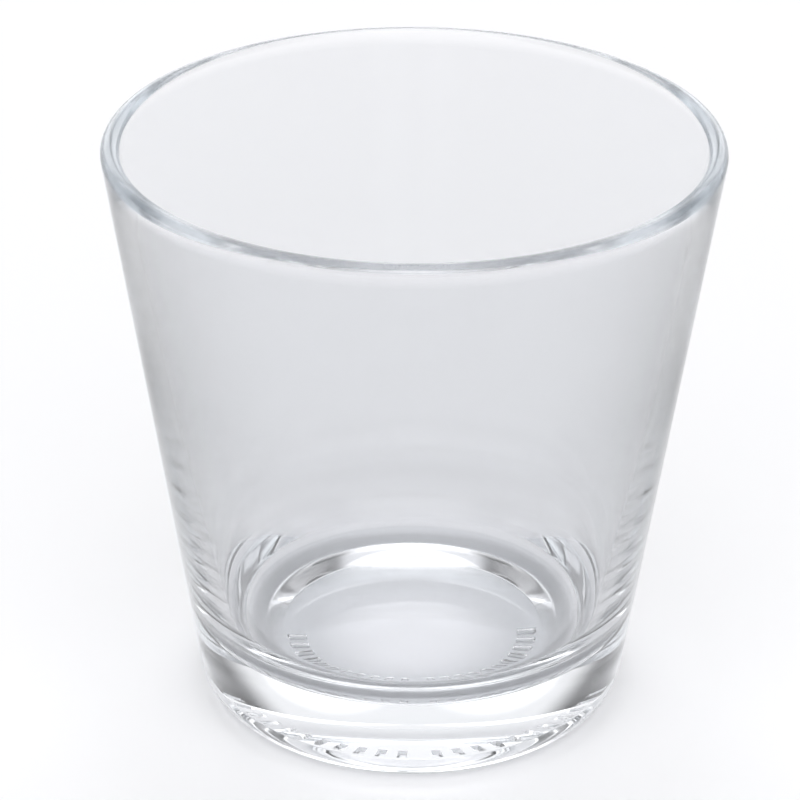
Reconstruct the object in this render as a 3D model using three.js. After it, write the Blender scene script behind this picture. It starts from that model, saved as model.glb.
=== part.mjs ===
// A conical whisky tumbler, pressed in one piece of clear soda-lime glass.
// Units are millimetres, +Z is up, and the origin is the centre of the ring it stands on.
import * as THREE from "three";

// Driving dimensions of the outside.
const RIM_DIAMETER = 84.6;
const HEIGHT = 84.8;
const OUTER_TAPER = THREE.MathUtils.degToRad(8.1);
const HEEL_RADIUS = 4.6;

// Driving dimensions of the inside: a wall that bends in gently towards the base, and a dished floor,
// with a generous round between them.
const LIP_THICKNESS = 2.6;
const INNER_TAPER = THREE.MathUtils.degToRad(8.65);
const BEND_HEIGHT = 60;
const BEND_RADIUS = 1100;
const FLOOR_HEIGHT = 8.3;
const FLOOR_DISH_RADIUS = 93;
const FLOOR_CORNER_RADIUS = 10.4;

// Driving dimensions of the underside: a flat ring to stand on, a sloping flank and a domed middle.
const STANDING_RING_WIDTH = 1.9;
const FLANK_WIDTH = 3.5;
const FLANK_RISE = 1.2;
const CROWN_RISE = 0.65;

// How finely the round shape is cut into flats.
const SIDES = 72;
const STEPS_PER_ARC = 6;

const GLASS = new THREE.MeshStandardMaterial({
  name: "clear_glass",
  color: 0xe9edf0,
  roughness: 0.05,
  metalness: 0,
  transparent: true,
  opacity: 0.35,
});

// The lip is a full round whose widest point is the rim.
const LIP_RADIUS = LIP_THICKNESS / 2;
const lip = { r: RIM_DIAMETER / 2 - LIP_RADIUS, z: HEIGHT - LIP_RADIUS };

// The outer wall is a straight cone from the lip's round to the heel's, and touches both.
const outerRadiusAt = (z) =>
  lip.r + LIP_RADIUS / Math.cos(OUTER_TAPER) - (lip.z - z) * Math.tan(OUTER_TAPER);
const heel = {
  r: outerRadiusAt(HEEL_RADIUS) - HEEL_RADIUS / Math.cos(OUTER_TAPER),
  z: HEEL_RADIUS,
};

// The inner wall runs straight down from the lip's round to the bend, whose centre is far across the axis.
const bendStart = {
  r: lip.r - LIP_RADIUS / Math.cos(INNER_TAPER) - (lip.z - BEND_HEIGHT) * Math.tan(INNER_TAPER),
  z: BEND_HEIGHT,
};
const bend = {
  r: bendStart.r - BEND_RADIUS * Math.cos(INNER_TAPER),
  z: bendStart.z + BEND_RADIUS * Math.sin(INNER_TAPER),
};

// The floor is part of a sphere round the dish's centre on the axis.
const dish = { r: 0, z: FLOOR_HEIGHT + FLOOR_DISH_RADIUS };

// The round in the corner touches the bend and the dish from inside.
// Its centre lies below the line from the bend's centre to the dish's.
const bendReach = BEND_RADIUS - FLOOR_CORNER_RADIUS;
const dishReach = FLOOR_DISH_RADIUS - FLOOR_CORNER_RADIUS;
const apart = Math.hypot(dish.r - bend.r, dish.z - bend.z);
const along = (bendReach ** 2 - dishReach ** 2 + apart ** 2) / (2 * apart);
const below = Math.sqrt(bendReach ** 2 - along ** 2);
const toDish = { r: (dish.r - bend.r) / apart, z: (dish.z - bend.z) / apart };
const corner = {
  r: bend.r + along * toDish.r + below * toDish.z,
  z: bend.z + along * toDish.z - below * toDish.r,
};

// The middle of the underside is part of a sphere too, with its centre below on the axis.
const ringInner = heel.r - STANDING_RING_WIDTH;
const crownEdge = ringInner - FLANK_WIDTH;
const CROWN_RADIUS = (crownEdge ** 2 + CROWN_RISE ** 2) / (2 * CROWN_RISE);
const crown = { r: 0, z: FLANK_RISE + CROWN_RISE - CROWN_RADIUS };

// Half of the section, from the middle of the underside round the outside to the middle of the floor.
function tumblerSection() {
  const quarter = Math.PI / 2;
  const bendEnd = Math.atan2(corner.z - bend.z, corner.r - bend.r);
  const floorEdge = Math.atan2(corner.z - dish.z, corner.r - dish.r);
  const section = new THREE.Path();
  section.absarc(crown.r, crown.z, CROWN_RADIUS, quarter, Math.acos(crownEdge / CROWN_RADIUS), true);
  section.lineTo(ringInner, 0);
  section.lineTo(heel.r, 0);
  section.absarc(heel.r, heel.z, HEEL_RADIUS, -quarter, -OUTER_TAPER, false);
  section.absarc(lip.r, lip.z, LIP_RADIUS, -OUTER_TAPER, Math.PI - INNER_TAPER, false);
  section.absarc(bend.r, bend.z, BEND_RADIUS, -INNER_TAPER, bendEnd, true);
  section.absarc(corner.r, corner.z, FLOOR_CORNER_RADIUS, bendEnd, floorEdge, true);
  section.absarc(dish.r, dish.z, FLOOR_DISH_RADIUS, floorEdge, -quarter, true);
  return section.getPoints(STEPS_PER_ARC);
}

function tumbler() {
  const points = tumblerSection();
  points[0].x = 0;
  points[points.length - 1].x = 0;
  const mesh = new THREE.Mesh(new THREE.LatheGeometry(points, SIDES), GLASS);
  mesh.name = "tumbler";
  mesh.rotation.x = Math.PI / 2;
  return mesh;
}

const whiskyGlass = new THREE.Group();
whiskyGlass.add(tumbler());

export default whiskyGlass;
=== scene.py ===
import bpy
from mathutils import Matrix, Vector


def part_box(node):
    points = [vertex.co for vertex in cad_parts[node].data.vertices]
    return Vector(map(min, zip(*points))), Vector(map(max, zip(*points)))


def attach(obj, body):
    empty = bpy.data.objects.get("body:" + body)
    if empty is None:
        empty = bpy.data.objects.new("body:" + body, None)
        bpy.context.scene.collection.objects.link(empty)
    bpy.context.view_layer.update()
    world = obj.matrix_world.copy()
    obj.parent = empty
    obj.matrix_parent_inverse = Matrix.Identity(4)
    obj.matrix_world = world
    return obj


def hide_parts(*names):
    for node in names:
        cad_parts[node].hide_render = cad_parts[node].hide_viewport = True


bl_info = {
    "name": "Whisky tumbler",
    "version": (1, 0, 0),
    "blender": (4, 5, 0),
    "location": "View3D > Sidebar > Tumbler",
    "description": "Builds a pressed-glass whisky tumbler, and a white stage to look at it on",
    "category": "Object",
}

import math

import bmesh
import bpy
from bpy.props import FloatProperty, FloatVectorProperty, IntProperty, PointerProperty
from mathutils import Quaternion, Vector

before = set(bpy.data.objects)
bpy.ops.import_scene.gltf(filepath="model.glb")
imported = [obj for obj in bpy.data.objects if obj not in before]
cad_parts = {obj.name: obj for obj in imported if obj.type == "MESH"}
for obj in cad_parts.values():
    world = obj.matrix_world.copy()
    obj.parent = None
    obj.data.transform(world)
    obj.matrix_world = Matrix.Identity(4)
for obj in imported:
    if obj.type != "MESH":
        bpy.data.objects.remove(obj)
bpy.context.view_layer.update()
CAD_LOW, CAD_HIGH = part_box("tumbler")

MM = 0.001
DOWN = -math.pi / 2

# How much painted shade the outer wall takes, at shares of the glass's height from the table up.
# The grey stands in for the glass's shadow and the dark surroundings seen through the wall; none low down
# or on the lip.
WALL_PAINTED_SHADE = (
    (0.07, 0.0),
    (0.21, 0.6),
    (0.41, 0.85),
    (0.65, 0.97),
    (0.94, 0.82),
    (0.965, 0.78),
    (0.985, 0.0),
)


def linear_colour(code):
    """Turn an sRGB hex colour such as #F2F4F8 into linear red, green and blue."""
    channels = [int(code[i:i + 2], 16) / 255 for i in (1, 3, 5)]
    return [c / 12.92 if c <= 0.04045 else ((c + 0.055) / 1.055) ** 2.4 for c in channels]


def length(name, description, default):
    """A property that holds a size in metres."""
    return FloatProperty(name=name, description=description, default=default, min=0.0, unit="LENGTH",
                         precision=5)


def angle(name, description, degrees):
    """A property that holds an angle, given here in degrees."""
    return FloatProperty(name=name, description=description, default=math.radians(degrees), subtype="ANGLE")


def brightness(name, description, default):
    """A property that holds a brightness, where 1 is white."""
    return FloatProperty(name=name, description=description, default=default, min=0.0)


def colour(name, description, code):
    """A property that holds a colour, given here as an sRGB hex code."""
    return FloatVectorProperty(name=name, description=description, default=linear_colour(code),
                               subtype="COLOR", min=0.0, max=1.0)


def count(name, description, default):
    """A property that holds a whole number of steps."""
    return IntProperty(name=name, description=description, default=default, min=1)


class TumblerSizes(bpy.types.PropertyGroup):
    """The driving dimensions of the glass's section."""
    rim_diameter: length("Rim diameter", "Width over the lip", CAD_HIGH[0] - CAD_LOW[0])
    height: length("Height", "From the table to the top of the lip", CAD_HIGH[2] - CAD_LOW[2])
    outer_taper: angle("Outer taper", "Lean of the outer wall from upright", 8.1)
    inner_taper: angle("Inner taper", "Lean of the inner wall's straight part from upright", 8.65)
    lip_thickness: length("Lip thickness", "Diameter of the full-round lip", 2.6 * MM)
    heel_radius: length("Heel radius", "Round between the outer wall and the standing ring", 4.6 * MM)
    bend_height: length("Bend height", "From the table to where the inner wall starts to bend in", 60 * MM)
    bend_radius: length("Bend radius", "Radius of the inner wall's bend", 1100 * MM)
    floor_height: length("Floor height", "From the table to the middle of the floor inside", 8.3 * MM)
    floor_radius: length("Floor dish radius", "Radius of the dished floor inside", 93 * MM)
    corner_radius: length("Floor corner radius", "Round between the inner wall and the floor", 10.4 * MM)
    ring_width: length("Standing ring width", "Width of the flat ring that the glass stands on", 1.9 * MM)
    flank_width: length("Flank width", "Width of the sloping band inside the standing ring", 3.5 * MM)
    flank_rise: length("Flank rise", "Height that the sloping band gains", 1.2 * MM)
    crown_rise: length("Crown rise", "Height that the domed middle of the underside gains", 0.65 * MM)
    sides: count("Sides", "Steps round the glass", 512)


class BaseGrip(bpy.types.PropertyGroup):
    """The ring of small raised bars pressed into the underside."""
    ring_radius: length("Ring radius", "From the axis to the bars' outer ends", 20 * MM)
    bar_length: length("Bar length", "Length of a bar towards the axis", 3.2 * MM)
    bar_height: length("Bar height", "How far a bar stands out of the domed middle", 0.7 * MM)
    bar_draft: length("Bar draft", "How far a bar's sides lean in towards its top", 0.2 * MM)
    bar_sides: count("Bar width", "Steps round the glass that a bar covers", 5)
    pitch_sides: count("Bar pitch", "Steps round the glass from bar to bar", 11)


class GlassFinish(bpy.types.PropertyGroup):
    """What the glass looks like."""
    clear: colour("Clear colour", "Colour of the polished inside, the lip and the thick base", "#FDFDFE")
    # Painted shade: the skin colour greys the outer wall and underside, the edge colour takes it to near
    # black at a slant,
    # and the foot colour darkens the glass next to the table, in place of the shadow and dark surroundings
    # seen through it.
    skin: colour("Skin colour", "Colour of the outer wall's skin, seen squarely", "#DBDDDF")
    foot_painted_shade: colour("Foot colour", "Colour of the standing ring and of what lies close to it", "#ADAEB0")
    edge: colour("Edge colour", "Colour of the outer wall's skin, seen at a slant", "#020203")
    painted_edge_start: FloatProperty(name="Edge start", default=0.19, min=0.0, max=1.0, subtype="FACTOR",
                              description="Slant at which the edge colour begins: 0 square, 1 level")
    depth: colour("Depth colour", "Colour that light takes on in the thick of the glass", "#DDE2E6")
    depth_density: FloatProperty(name="Depth density", default=6.0, min=0.0,
                                 description="How strongly the thick glass tints, per metre")
    ior: FloatProperty(name="IOR", description="Refractive index of soda-lime glass", default=1.52)


class StudioLook(bpy.types.PropertyGroup):
    """The floor, the light and the camera."""
    paper: colour("Paper", "Colour of the white floor", "#FEFEFF")
    light: colour("Light", "Colour of the studio light", "#FEFEFF")
    tent_level: brightness("Tent level", "Brightness of the white tent all round", 1.13)
    top_level: brightness("Top level", "Brightness that the lamp overhead adds", 0.97)
    front_level: brightness("Front level", "Brightness that the lamp in front adds", 0.38)
    back_level: brightness("Back level", "Brightness that each of the two low lamps behind adds", 1.4)
    card_shade: brightness("Card shade", "Brightness that the dark card at each side takes away", 1.02)
    camera_distance: length("Camera distance", "From the lens to the point it looks at", 415.6 * MM)
    camera_rise: angle("Camera rise", "How steeply the camera looks down", 27.775)
    camera_roll: angle("Camera roll", "How far the camera leans to the left", 0.322)
    aim_height: length("Aim height", "Height of the point that the camera looks at", 44.4 * MM)


def new_object(name, bm):
    """Make an object at the origin out of a bmesh."""
    mesh = bpy.data.meshes.new(name)
    bm.to_mesh(mesh)
    bm.free()
    piece = bpy.data.objects.new(name, mesh)
    bpy.context.scene.collection.objects.link(piece)
    return piece


def add_node(tree, kind, settings=None, inputs=None, links=None):
    """Add a node, set its properties and input values, and link its inputs to other nodes' outputs."""
    node = tree.nodes.new(kind)
    for key, value in (settings or {}).items():
        setattr(node, key, value)
    for key, value in (inputs or {}).items():
        node.inputs[key].default_value = value
    for key, (source, output) in (links or {}).items():
        tree.links.new(source.outputs[output], node.inputs[key])
    return node


def new_material(name):
    """Make an empty node material and its output node."""
    material = bpy.data.materials.new(name)
    material.use_nodes = True
    material.node_tree.nodes.clear()
    output = add_node(material.node_tree, "ShaderNodeOutputMaterial")
    return material, material.node_tree, output


def pressed_glass(sizes, finish):
    """Clear soda-lime glass, pressed in a mould and fire-polished.

    The eye sees a clean bright gloss, and a cool grey of painted shade on the outer wall, in place of the
    shadow and dark surroundings seen through it, that deepens towards the outline, where the view slants
    through the wall. The lip and the thick base stay clear.
    """
    material, tree, output = new_material("clear_pressed_soda_lime_glass")
    place = add_node(tree, "ShaderNodeTexCoord")
    axes = add_node(tree, "ShaderNodeSeparateXYZ", links={"Vector": (place, "Object")})
    upwards = add_node(tree, "ShaderNodeMapRange", inputs={"From Max": sizes.height},
                       links={"Value": (axes, "Z")})
    wall = add_node(tree, "ShaderNodeValToRGB", links={"Fac": (upwards, "Result")})
    stops = wall.color_ramp.elements
    for index, (position, share) in enumerate(WALL_PAINTED_SHADE):
        stop = stops[index] if index < len(stops) else stops.new(position)
        stop.position = position
        stop.color = (share, share, share, 1.0)

    # The underside takes the painted shade below its domed middle, and a darker painted shade close to the
    # table, in place of the contact shadow.
    crown_top = sizes.flank_rise + sizes.crown_rise
    underside_painted_level = 1.4 * MM
    foot_level = 0.2 * MM
    underside = add_node(tree, "ShaderNodeMapRange", settings={"interpolation_type": "SMOOTHSTEP"},
                         inputs={"From Min": crown_top, "From Max": underside_painted_level},
                         links={"Value": (axes, "Z")})
    foot_painted_shade = add_node(tree, "ShaderNodeMapRange", settings={"interpolation_type": "SMOOTHSTEP"},
                    inputs={"From Min": sizes.flank_rise, "From Max": foot_level},
                    links={"Value": (axes, "Z")})

    # The painted shade is on the outer wall. A point's radius, less what the taper adds at its height,
    # tells that wall from the inner one.
    across = add_node(tree, "ShaderNodeCombineXYZ", links={"X": (axes, "X"), "Y": (axes, "Y")})
    radius = add_node(tree, "ShaderNodeVectorMath", settings={"operation": "LENGTH"},
                      links={0: (across, "Vector")})
    foot_radius = add_node(tree, "ShaderNodeMath", settings={"operation": "MULTIPLY_ADD"},
                           inputs={1: -math.tan(sizes.outer_taper)},
                           links={0: (axes, "Z"), 2: (radius, "Value")})
    outer_wall_foot = sizes.rim_diameter / 2 - sizes.height * math.tan(sizes.outer_taper)
    outside = add_node(tree, "ShaderNodeMapRange", settings={"interpolation_type": "SMOOTHSTEP"},
                       inputs={"From Min": outer_wall_foot - sizes.lip_thickness / 2, "From Max": outer_wall_foot},
                       links={"Value": (foot_radius, "Value")})
    painted_shade_share = add_node(tree, "ShaderNodeMath", settings={"operation": "MULTIPLY_ADD"},
                          links={0: (wall, "Color"), 1: (outside, "Result"), 2: (underside, "Result")})

    # Painted shade: at a slant the outer wall's grey goes to the near-black edge colour, darkening the
    # outline.
    slant = add_node(tree, "ShaderNodeLayerWeight", inputs={"Blend": 0.5})
    painted_edge_share = add_node(tree, "ShaderNodeMapRange", settings={"interpolation_type": "SMOOTHSTEP"},
                          inputs={"From Min": finish.painted_edge_start}, links={"Value": (slant, "Facing")})
    skin = add_node(tree, "ShaderNodeMixRGB",
                    inputs={"Color1": (*finish.skin, 1.0), "Color2": (*finish.edge, 1.0)},
                    links={"Fac": (painted_edge_share, "Result")})
    # Painted shade: the colour goes from clear to the painted grey by its share, and to the darker foot
    # shade next to the table.
    shade = add_node(tree, "ShaderNodeMixRGB", inputs={"Color1": (*finish.clear, 1.0)},
                     links={"Fac": (painted_shade_share, "Value"), "Color2": (skin, "Color")})
    with_foot_painted_shade = add_node(tree, "ShaderNodeMixRGB", inputs={"Color2": (*finish.foot_painted_shade, 1.0)},
                      links={"Fac": (foot_painted_shade, "Result"), "Color1": (shade, "Color")})
    surface = add_node(tree, "ShaderNodeBsdfPrincipled",
                       inputs={"Roughness": 0.0, "IOR": finish.ior, "Transmission Weight": 1.0},
                       links={"Base Color": (with_foot_painted_shade, "Color")})
    body = add_node(tree, "ShaderNodeVolumeAbsorption",
                    inputs={"Color": (*finish.depth, 1.0), "Density": finish.depth_density})
    tree.links.new(surface.outputs["BSDF"], output.inputs["Surface"])
    tree.links.new(body.outputs["Volume"], output.inputs["Volume"])
    return material


def white_paper(look):
    """Matt white studio paper, which gives the eye a clean floor that only the glass's shadow marks."""
    material, tree, output = new_material("matt_white_studio_paper")
    surface = add_node(tree, "ShaderNodeBsdfPrincipled",
                       inputs={"Base Color": (*look.paper, 1.0), "Roughness": 1.0,
                               "Specular IOR Level": 0.0})
    tree.links.new(surface.outputs["BSDF"], output.inputs["Surface"])
    return material


def draw_line(section, start, r, z):
    """Carry the section on from a vertex along a straight run, and return the run's last vertex."""
    end = bmesh.ops.extrude_vert_indiv(section, verts=[start])["verts"][0]
    end.co = (r, 0, z)
    return end


def draw_arc(section, start, centre, turn, steps):
    """Carry the section on from a vertex along an arc round a centre, and return the arc's last vertex."""
    # Round this axis, a turn runs from outwards to upwards.
    axis = (0, -1, 0)
    drawn = bmesh.ops.spin(section, geom=[start], cent=centre, axis=axis, angle=turn, steps=steps)
    return next(item for item in drawn["geom_last"] if isinstance(item, bmesh.types.BMVert))


def meeting_point(first, first_reach, second, second_reach):
    """Find the lower of the two points of the section that lie at given distances from two centres."""
    apart = second - first
    along = (first_reach ** 2 - second_reach ** 2 + apart.length_squared) / (2 * apart.length)
    aside = math.sqrt(first_reach ** 2 - along ** 2)
    direction = apart.normalized()
    square = Vector((-direction.z, 0, direction.x))
    middle = first + direction * along
    return min(middle + square * aside, middle - square * aside, key=lambda point: point.z)


def tumbler_section(sizes, grip):
    """Draw half of the glass's section, from the middle of the underside to the middle of the floor."""
    rim_radius = sizes.rim_diameter / 2
    outward = Vector((math.cos(sizes.outer_taper), 0, -math.sin(sizes.outer_taper)))
    inward = Vector((-math.cos(sizes.inner_taper), 0, math.sin(sizes.inner_taper)))

    lip_radius = sizes.lip_thickness / 2
    lip = Vector((rim_radius - lip_radius, 0, sizes.height - lip_radius))
    lip_start = lip + lip_radius * outward

    # The outer wall is a straight line that leaves the heel's round and joins the lip's round at a tangent.
    wall_r = lip.x + lip_radius / math.cos(sizes.outer_taper)
    heel_r = (wall_r - (lip.z - sizes.heel_radius) * math.tan(sizes.outer_taper)
              - sizes.heel_radius / math.cos(sizes.outer_taper))
    heel = Vector((heel_r, 0, sizes.heel_radius))

    # The inner wall runs straight down from the lip, then bends in, and the floor's corner carries it on.
    inner_r = (lip.x - lip_radius / math.cos(sizes.inner_taper)
               - (lip.z - sizes.bend_height) * math.tan(sizes.inner_taper))
    bend_start = Vector((inner_r, 0, sizes.bend_height))
    bend = bend_start + sizes.bend_radius * inward
    dish = Vector((0, 0, sizes.floor_height + sizes.floor_radius))
    corner = meeting_point(bend, sizes.bend_radius - sizes.corner_radius,
                           dish, sizes.floor_radius - sizes.corner_radius)
    corner_angle = math.atan2(corner.z - bend.z, corner.x - bend.x)
    floor_angle = math.atan2(corner.z - dish.z, corner.x - dish.x)

    # The underside: a domed middle, a sloping band and the flat ring.
    ring_r = heel_r - sizes.ring_width
    crown_r = ring_r - sizes.flank_width
    crown_radius = (crown_r ** 2 + sizes.crown_rise ** 2) / (2 * sizes.crown_rise)
    crown_top = sizes.flank_rise + sizes.crown_rise
    crown = Vector((0, 0, crown_top - crown_radius))

    section = bmesh.new()
    vertex = section.verts.new((0, 0, crown_top))
    turned = 0.0
    for r, steps in ((grip.ring_radius - grip.bar_length, 10), (grip.ring_radius, 4), (crown_r, 2)):
        turn = math.asin(r / crown_radius)
        vertex = draw_arc(section, vertex, crown, turned - turn, steps=steps)
        turned = turn
    vertex = draw_line(section, vertex, ring_r, 0)
    vertex = draw_line(section, vertex, heel_r, 0)
    vertex = draw_arc(section, vertex, heel, math.pi / 2 - sizes.outer_taper, steps=14)
    vertex = draw_line(section, vertex, lip_start.x, lip_start.z)
    vertex = draw_arc(section, vertex, lip, math.pi + sizes.outer_taper - sizes.inner_taper, steps=24)
    vertex = draw_line(section, vertex, bend_start.x, bend_start.z)
    vertex = draw_arc(section, vertex, bend, corner_angle + sizes.inner_taper, steps=16)
    vertex = draw_arc(section, vertex, corner, floor_angle - corner_angle, steps=20)
    vertex = draw_arc(section, vertex, dish, DOWN - floor_angle, steps=16)
    vertex.co.x = 0

    # The straight runs of the two walls are cut up, so that their faces aren't too long.
    long_run = 5 * sizes.lip_thickness
    walls = [edge for edge in section.edges if edge.calc_length() > long_run]
    bmesh.ops.subdivide_edges(section, edges=walls, cuts=20)
    return section


def press_bars(bm, sizes, grip):
    """Raise the bars out of the front half of the underside's domed middle, with a plain gap in the run."""
    outer = grip.ring_radius
    inner = outer - grip.bar_length
    underside_top = sizes.flank_rise + sizes.crown_rise
    step = 2 * math.pi / sizes.sides
    quarter_sides = sizes.sides // 4
    gap_sides = grip.pitch_sides
    bars = []
    for face in bm.faces:
        middle = face.calc_center_median()
        if middle.y > 0 or middle.z > underside_top or not inner < math.hypot(middle.x, middle.y) < outer:
            continue
        side = int(math.atan2(middle.x, -middle.y) % (2 * math.pi) / step) % quarter_sides
        if gap_sides <= side and side % grip.pitch_sides < grip.bar_sides:
            bars.append(face)
    bmesh.ops.inset_region(bm, faces=bars, thickness=grip.bar_draft, depth=grip.bar_height,
                           use_boundary=True, use_even_offset=True)


class TUMBLER_OT_glass(bpy.types.Operator):
    """Spin the glass out of its section and give it its finish"""
    bl_idname = "tumbler.glass"
    bl_label = "Glass"

    def execute(self, context):
        sizes, grip = context.scene.tumbler_sizes, context.scene.tumbler_grip
        bm = tumbler_section(sizes, grip)
        bmesh.ops.spin(bm, geom=bm.verts[:] + bm.edges[:], cent=(0, 0, 0), axis=(0, 0, 1),
                       angle=2 * math.pi, steps=sizes.sides, use_merge=True)
        same_point = 0.001 * MM
        bmesh.ops.remove_doubles(bm, verts=bm.verts[:], dist=same_point)
        bmesh.ops.recalc_face_normals(bm, faces=bm.faces[:])
        press_bars(bm, sizes, grip)
        for face in bm.faces:
            face.smooth = True
        piece = new_object("pressed_tumbler", bm)
        sharpest_round = math.radians(35)
        piece.data.set_sharp_from_angle(angle=sharpest_round)
        piece.data.materials.append(pressed_glass(sizes, context.scene.tumbler_finish))
        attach(piece, "root")
        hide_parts("tumbler")
        return {"FINISHED"}


def soft_patch(tree, view, rise, turn, reach, core, level):
    """Make a soft round patch of light, or of shade if its level is negative, for the tent's wall.

    The rise from the floor, the turn from the back, the reach and the core within it are in degrees.
    """
    rise, turn = math.radians(rise), math.radians(turn)
    middle = (math.cos(rise) * math.sin(turn), math.cos(rise) * math.cos(turn), math.sin(rise))
    facing = add_node(tree, "ShaderNodeVectorMath", settings={"operation": "DOT_PRODUCT"},
                      inputs={1: middle}, links={0: (view, "Generated")})
    edge, centre = math.cos(math.radians(reach)), math.cos(math.radians(core))
    return add_node(tree, "ShaderNodeMapRange", settings={"interpolation_type": "SMOOTHSTEP"},
                    inputs={"From Min": edge, "From Max": centre, "To Max": level},
                    links={"Value": (facing, "Value")})


def studio_light(look):
    """Light the stage as a white tent does.

    Lamps overhead, in front and low behind add to the tent's light, and a dark card at each side takes
    some away.
    """
    world = bpy.data.worlds.new("studio_light")
    bpy.context.scene.world = world
    world.use_nodes = True
    tree = world.node_tree
    tree.nodes.clear()
    view = add_node(tree, "ShaderNodeTexCoord")
    patches = (
        soft_patch(tree, view, rise=90, turn=0, reach=35, core=6, level=look.top_level),
        soft_patch(tree, view, rise=50, turn=180, reach=40, core=10, level=look.front_level),
        soft_patch(tree, view, rise=18, turn=18, reach=18, core=6, level=look.back_level),
        soft_patch(tree, view, rise=18, turn=-18, reach=18, core=6, level=look.back_level),
        soft_patch(tree, view, rise=44, turn=78, reach=38, core=24, level=-look.card_shade),
        soft_patch(tree, view, rise=44, turn=-78, reach=38, core=24, level=-look.card_shade),
    )
    total = add_node(tree, "ShaderNodeMath", settings={"operation": "ADD"}, inputs={0: look.tent_level},
                     links={1: (patches[0], "Result")})
    for patch in patches[1:]:
        total = add_node(tree, "ShaderNodeMath", settings={"operation": "ADD"},
                         links={0: (total, "Value"), 1: (patch, "Result")})
    background = add_node(tree, "ShaderNodeBackground", inputs={"Color": (*look.light, 1.0)},
                          links={"Strength": (total, "Value")})
    output = add_node(tree, "ShaderNodeOutputWorld")
    tree.links.new(background.outputs["Background"], output.inputs["Surface"])


def aim_camera(look):
    """Set the camera where the photograph was taken from."""
    data = bpy.data.cameras.new("studio_camera")
    camera = bpy.data.objects.new("studio_camera", data)
    bpy.context.scene.collection.objects.link(camera)
    away = Vector((0, -math.cos(look.camera_rise), math.sin(look.camera_rise)))
    camera.location = Vector((0, 0, look.aim_height)) + away * look.camera_distance
    camera.rotation_mode = "QUATERNION"
    camera.rotation_quaternion = away.to_track_quat("Z", "Y") @ Quaternion((0, 0, 1), look.camera_roll)
    frame_width = 800
    focal_pixels = 2941.4
    middle_column = 413
    data.sensor_width = 36
    data.lens = focal_pixels / frame_width * data.sensor_width
    data.shift_x = (frame_width / 2 - middle_column) / frame_width
    data.clip_start = 10 * MM
    bpy.context.scene.camera = camera


class TUMBLER_OT_stage(bpy.types.Operator):
    """Lay the white floor, set the light and aim the camera"""
    bl_idname = "tumbler.stage"
    bl_label = "Stage"

    def execute(self, context):
        look = context.scene.tumbler_studio
        bm = bmesh.new()
        floor_size = 6.0
        just_under = -0.05 * MM
        bmesh.ops.create_grid(bm, x_segments=1, y_segments=1, size=floor_size / 2)
        bmesh.ops.translate(bm, verts=bm.verts, vec=(0, 0, just_under))
        floor = new_object("studio_floor", bm)
        floor.data.materials.append(white_paper(look))
        studio_light(look)
        aim_camera(look)
        context.scene.view_settings.view_transform = "Standard"
        most_bounces = 128
        bounces = context.scene.cycles
        bounces.max_bounces = most_bounces
        bounces.transmission_bounces = most_bounces
        bounces.glossy_bounces = most_bounces
        bounces.sample_clamp_indirect = 0
        bounces.blur_glossy = 0
        return {"FINISHED"}


class TUMBLER_PT_panel(bpy.types.Panel):
    """Sidebar panel with the tumbler's sizes, looks and operators"""
    bl_idname = "TUMBLER_PT_panel"
    bl_label = "Whisky tumbler"
    bl_space_type = "VIEW_3D"
    bl_region_type = "UI"
    bl_category = "Tumbler"

    def draw(self, context):
        for operator in (TUMBLER_OT_glass, TUMBLER_OT_stage):
            self.layout.operator(operator.bl_idname)
        for name in GROUPS:
            group = getattr(context.scene, name)
            box = self.layout.box()
            for prop in group.__annotations__:
                box.prop(group, prop)


GROUPS = {
    "tumbler_sizes": TumblerSizes,
    "tumbler_grip": BaseGrip,
    "tumbler_finish": GlassFinish,
    "tumbler_studio": StudioLook,
}
CLASSES = (*GROUPS.values(), TUMBLER_OT_glass, TUMBLER_OT_stage, TUMBLER_PT_panel)


def register():
    for cls in CLASSES:
        bpy.utils.register_class(cls)
    for name, group in GROUPS.items():
        setattr(bpy.types.Scene, name, PointerProperty(type=group))


def unregister():
    for name in GROUPS:
        delattr(bpy.types.Scene, name)
    for cls in reversed(CLASSES):
        bpy.utils.unregister_class(cls)


def main():
    register()
    bpy.ops.tumbler.glass()
    bpy.ops.tumbler.stage()


if __name__ == "__main__":
    main()
